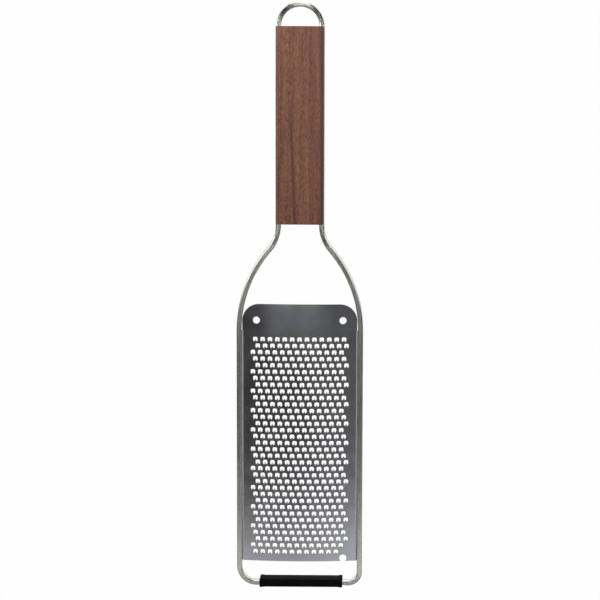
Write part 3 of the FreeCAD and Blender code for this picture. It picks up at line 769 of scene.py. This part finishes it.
def lay_out_rows(piece):
    """A row of cells, then every row: each steps aside by a third of the pitch, in threes."""
    bpy.ops.mesh.select_all(action="SELECT")
    for _ in range(COLUMNS - 1):
        bpy.ops.mesh.duplicate_move(TRANSFORM_OT_translate={"value": (COLUMN_PITCH, 0, 0)})
    bpy.ops.mesh.select_all(action="SELECT")
    steps = (0, COLUMN_PITCH / 3, -COLUMN_PITCH / 3)
    for row in range(1, ROWS):
        aside = steps[row % 3] - steps[(row - 1) % 3]
        move = (aside, -ROW_PITCH, 0)
        bpy.ops.mesh.duplicate_move(TRANSFORM_OT_translate={"value": move})

    # The last cell of the last row makes room for the notch.
    cell_left = FIRST_TOOTH_X + (COLUMNS - 1.5) * COLUMN_PITCH
    cell_top = FIRST_ROW_Y - (ROWS - 1.5) * ROW_PITCH
    pick(piece, "verts", lambda corner: corner.co.x > cell_left + SLACK
         and corner.co.y < cell_top - SLACK)
    bpy.ops.mesh.delete(type="VERT")
    merge_corners()
    bpy.ops.mesh.select_all(action="SELECT")
    bpy.ops.mesh.delete_loose(use_verts=True, use_edges=True, use_faces=False)


def below_header(corner):
    """Whether a corner is under the small step where the folded sides start."""
    return corner.co.y < FLANGE_TOP - HEADER_STEP / 2


def draw_edges(piece):
    """Blade's edges, laid flat: rounded top corners, and narrower where the sides fold."""
    middle = Vector((0, (blade_low.y + blade_high.y) / 2, CROWN_TOP))
    length = blade_high.y - blade_low.y
    add_rectangle(middle, 2 * SHEET_HALF, length)
    pick(piece, "verts", lambda corner: near(corner.co.y, blade_high.y))
    bpy.ops.mesh.bevel(offset=HEADER_CORNER_RADIUS, segments=16, affect="VERTICES")
    for cut in (FLANGE_TOP, FLANGE_TOP - HEADER_STEP):
        pick(piece, "edges", lambda edge: edge.calc_length() > length / 2 and runs_along(edge, Y))
        bpy.ops.mesh.bisect(plane_co=(0, cut, 0), plane_no=(0, 1, 0), threshold=SAME_PLACE)
    pick(piece, "verts", lambda corner: near(abs(corner.co.x), SHEET_HALF) and below_header(corner))
    bpy.ops.transform.resize(value=(FLAT_HALF / SHEET_HALF, 1, 1), center_override=middle)


def on_flat(x):
    """Distance from the middle along the uncurved sheet."""
    return CROWN_RADIUS * math.asin(x / CROWN_RADIUS)


def draw_holes():
    """Two round holes in the header."""
    for side in (1, -1):
        bpy.ops.mesh.select_all(action="DESELECT")
        place = (side * on_flat(HOLE_X), blade_high.y - HOLE_DROP, CROWN_TOP)
        bpy.ops.mesh.primitive_circle_add(vertices=40, radius=HOLE_DIAMETER / 2, location=place)


def draw_notch(piece):
    """Round notch that opens through the lower edge."""
    centre = Vector((on_flat(NOTCH_X), blade_low.y + NOTCH_RISE, CROWN_TOP))
    radius = NOTCH_DIAMETER / 2
    half_mouth = math.sqrt(radius ** 2 - NOTCH_RISE ** 2)
    for end in (centre.x + half_mouth, centre.x - half_mouth):
        pick(piece, "edges", lambda edge: lies_at(edge, Y, blade_low.y))
        bpy.ops.mesh.bisect(plane_co=(end, 0, 0), plane_no=(1, 0, 0))
    pick(piece, "edges", lambda edge: lies_at(edge, Y, blade_low.y)
         and edge.calc_length() < NOTCH_DIAMETER)
    bpy.ops.mesh.delete(type="EDGE_FACE")
    pick(piece, "verts", lambda corner: near(corner.co.y, blade_low.y)
         and near(corner.co.x, centre.x + half_mouth))
    sweep = 2 * math.pi - 2 * math.asin(half_mouth / radius)
    spin_selected(steps=28, turn=sweep, centre=centre, axis=UP)
    merge_corners()


def fill_margin(piece):
    """Sheet between the rows and the edges, cut in narrow strips so that it follows the crown."""
    fill_sheet(piece)
    mesh = bmesh.from_edit_mesh(piece.data)
    margin = mesh.faces.layers.int.new("margin")
    for face in mesh.faces:
        face[margin] = int(face.select)
    strip = COLUMN_PITCH / 3
    strips = math.floor(FLAT_HALF / strip + 0.5)
    for number in range(-strips, strips):
        cut = (number + 0.5) * strip
        margin = bmesh.from_edit_mesh(piece.data).faces.layers.int["margin"]
        pick(piece, "faces", lambda face: face[margin] == 1)
        bpy.ops.mesh.bisect(plane_co=(cut, 0, 0), plane_no=(1, 0, 0))
    bpy.ops.mesh.select_all(action="SELECT")
    bpy.ops.mesh.dissolve_degenerate(threshold=SAME_CORNER)
    face_outwards()


def crown_sheet(piece):
    """Curve the flat sheet across its width."""
    leave_edit_mode()
    centre_line = bpy.data.objects.new("centre_line", None)
    centre_line.location = (0, 0, CROWN_TOP)
    centre_line.rotation_euler = (0, math.radians(90), 0)
    bpy.context.scene.collection.objects.link(centre_line)
    bpy.context.view_layer.update()
    curve = piece.modifiers.new("crown", "SIMPLE_DEFORM")
    curve.deform_method = "BEND"
    curve.deform_axis = "Y"
    curve.angle = 2 * SHEET_HALF / CROWN_RADIUS
    curve.origin = centre_line
    bpy.ops.object.modifier_apply(modifier=curve.name)
    bpy.data.objects.remove(centre_line)


def fold_flanges(piece):
    """Fold the side edges down into flanges that lie against the rails."""
    bpy.ops.object.mode_set(mode="EDIT")
    mark_all(piece, "fold", 0.0)
    crown_edge = CROWN_RADIUS * math.sin(CROWN_LEAN)
    for side in (1, -1):
        pick(piece, "edges", lambda edge: lies_at(edge, X, side * crown_edge) and edge.is_boundary
             and all(end.co.y < FLANGE_TOP + SLACK for end in edge.verts))
        turn = side * (math.pi / 2 - CROWN_LEAN)
        centre = Vector((side * FOLD_X, 0, FOLD_LEVEL))
        spin_selected(steps=7, turn=turn, centre=centre, axis=Vector((0, 1, 0)))
        extrude((0, 0, blade_low.z - FOLD_LEVEL))
    pick(piece, "verts", lambda corner: abs(corner.co.x) > crown_edge + SLACK
         and below_header(corner))
    mark_selected(piece, "fold", 1.0)
    face_outwards()


def thicken_sheet(piece):
    """Give the sheet its metal, thinner at the tips of the teeth."""
    leave_edit_mode()
    metal = piece.modifiers.new("metal", "SOLIDIFY")
    metal.thickness = BLADE_THICKNESS
    metal.offset = -1.0
    metal.vertex_group = "metal"
    metal.thickness_vertex_group = TOOTH_TIP_THICKNESS / BLADE_THICKNESS
    metal.use_even_offset = True
    bpy.ops.object.modifier_apply(modifier=metal.name)


def build_blade():
    """Etched sheet: rows of openings with raised teeth, crowned across and folded at the sides."""
    piece = start_opening()
    surround_opening(piece)
    raise_tooth(piece)
    weigh_metal(piece)
    lay_out_rows(piece)
    draw_edges(piece)
    draw_holes()
    draw_notch(piece)
    fill_margin(piece)
    crown_sheet(piece)
    fold_flanges(piece)
    thicken_sheet(piece)
    close_piece(piece, sharp_angle=30)
    return piece


# Studio

def set_stage():
    """White floor that keeps the tool's shadow, and a dim room."""
    bpy.ops.object.select_all(action="DESELECT")
    bpy.ops.mesh.primitive_plane_add(size=FLOOR_SIZE)
    floor = bpy.context.object
    floor.name = "floor"
    finish = Finish("pale_floor")
    finish.feed({"Base Color": grey(0.86), "Roughness": 1.0, "Specular IOR Level": 0.0})
    rays = finish.node("ShaderNodeLightPath")
    seen = finish.maths("MAXIMUM", rays["Is Camera Ray"], rays["Is Glossy Ray"])
    seen = finish.maths("MAXIMUM", seen, rays["Is Transmission Ray"])
    lit = Field(finish, finish.shader.outputs["BSDF"])
    white = {"Color": grey(1.0), "Strength": 1.0}
    glow = finish.node("ShaderNodeEmission", None, white)["Emission"]
    glow_share = 0.985
    mixed = finish.node("ShaderNodeMixShader", None, {0: seen * glow_share, 1: lit, 2: glow})
    finish.connect(finish.tree.nodes["Material Output"].inputs["Surface"], mixed["Shader"])
    floor.data.materials.append(finish.material)

    world = bpy.data.worlds.new("studio")
    bpy.context.scene.world = world
    world.use_nodes = True
    room = world.node_tree.nodes["Background"]
    room.inputs["Color"].default_value = grey(1.0)
    room.inputs["Strength"].default_value = 0.03


def aim(place, back, upward):
    """Matrix of a lamp or camera at a place, looking against its back vector."""
    right = upward.cross(back).normalized()
    up = back.cross(right)
    turned = Matrix((right, up, back)).transposed().to_4x4()
    return Matrix.Translation(place) @ turned


def add_lamp(name, matrix, width, length, radiance):
    """Soft box: an area lamp of a given brightness, shining down its own Z axis."""
    lamp = bpy.data.lights.new(name, "AREA")
    lamp.shape = "RECTANGLE"
    lamp.size = width
    lamp.size_y = length
    lamp.energy = radiance * math.pi * width * length
    holder = bpy.data.objects.new(name, lamp)
    holder.matrix_world = matrix
    bpy.context.scene.collection.objects.link(holder)


def hang_panel(name, across, along, radiance, turn=0):
    """Level panel overhead, between two places on X and two on Y, turned by degrees."""
    middle = Vector((sum(across) / 2, sum(along) / 2, PANEL_HEIGHT))
    turned = Matrix.Rotation(math.radians(turn), 4, "Z")
    width = across[1] - across[0]
    length = along[1] - along[0]
    add_lamp(name, Matrix.Translation(middle) @ turned, width, length, radiance)


def stand_box(name, azimuth, tilt, width, length, radiance):
    """Box that faces the tool: azimuth from +X and tilt off the vertical, in degrees."""
    turn = math.radians(azimuth)
    lean = math.radians(tilt)
    outward = math.sin(lean)
    back = Vector((outward * math.cos(turn), outward * math.sin(turn), math.cos(lean)))
    add_lamp(name, aim(back * BOX_DISTANCE, back, UP), width, length, radiance)


def light_studio():
    """Panels overhead, from well before the blade to past the loop, and low boxes behind it."""
    hang_panel("front_panel", across=(-1.6, 1.3), along=(-0.68, -0.45), radiance=1.0, turn=2)
    hang_panel("far_panel", across=(-1.2, 1.2), along=(-2.5, -1.3), radiance=1.0)
    hang_panel("neck_panel", across=(-0.31, 0.11), along=(-0.12, 0.0), radiance=0.85)
    hang_panel("right_fill", across=(0.03, 0.8), along=(-0.43, 0.0), radiance=0.09)
    hang_panel("left_strip", across=(-1.6, -0.275), along=(0.06, 0.35), radiance=2.6)
    hang_panel("right_strip", across=(0.265, 1.6), along=(0.06, 0.25), radiance=1.7)
    hang_panel("loop_strip", across=(-0.155, 0.065), along=(0.38, 1.6), radiance=4.6)
    stand_box("left_box", azimuth=143, tilt=70, width=1.0, length=0.9, radiance=1.7)
    stand_box("right_box", azimuth=37, tilt=70, width=1.0, length=0.9, radiance=1.7)
    stand_box("loop_box", azimuth=90, tilt=72, width=1.0, length=0.5, radiance=3.6)


def place_camera():
    """Long lens above the tool, leaning a little towards its loop, and shifted to the right."""
    back = Vector((0, math.sin(CAMERA_LEAN), math.cos(CAMERA_LEAN)))
    upward = Vector((math.sin(CAMERA_ROLL), math.cos(CAMERA_ROLL), 0))
    place = CAMERA_TARGET + Vector((CAMERA_ASIDE, 0, 0)) + back * CAMERA_DISTANCE
    lens = bpy.data.cameras.new("camera")
    lens.sensor_width = 36.0
    lens.lens = 108.96
    lens.clip_end = 100.0
    lens.shift_x = -CAMERA_ASIDE / CAMERA_DISTANCE * lens.lens / lens.sensor_width
    camera = bpy.data.objects.new("camera", lens)
    camera.matrix_world = aim(place, back, upward)
    bpy.context.scene.collection.objects.link(camera)
    bpy.context.scene.camera = camera


hand_over(build_bent_bar(), "frame_bar", frame_steel())
hand_over(build_grip(), "handle_block", walnut())
hand_over(build_foot(), "foot_sleeve", foot_rubber())
hand_over(build_blade(), "grating_blade", blade_steel())
set_stage()
light_studio()
place_camera()
bpy.context.scene.view_settings.view_transform = "Standard"
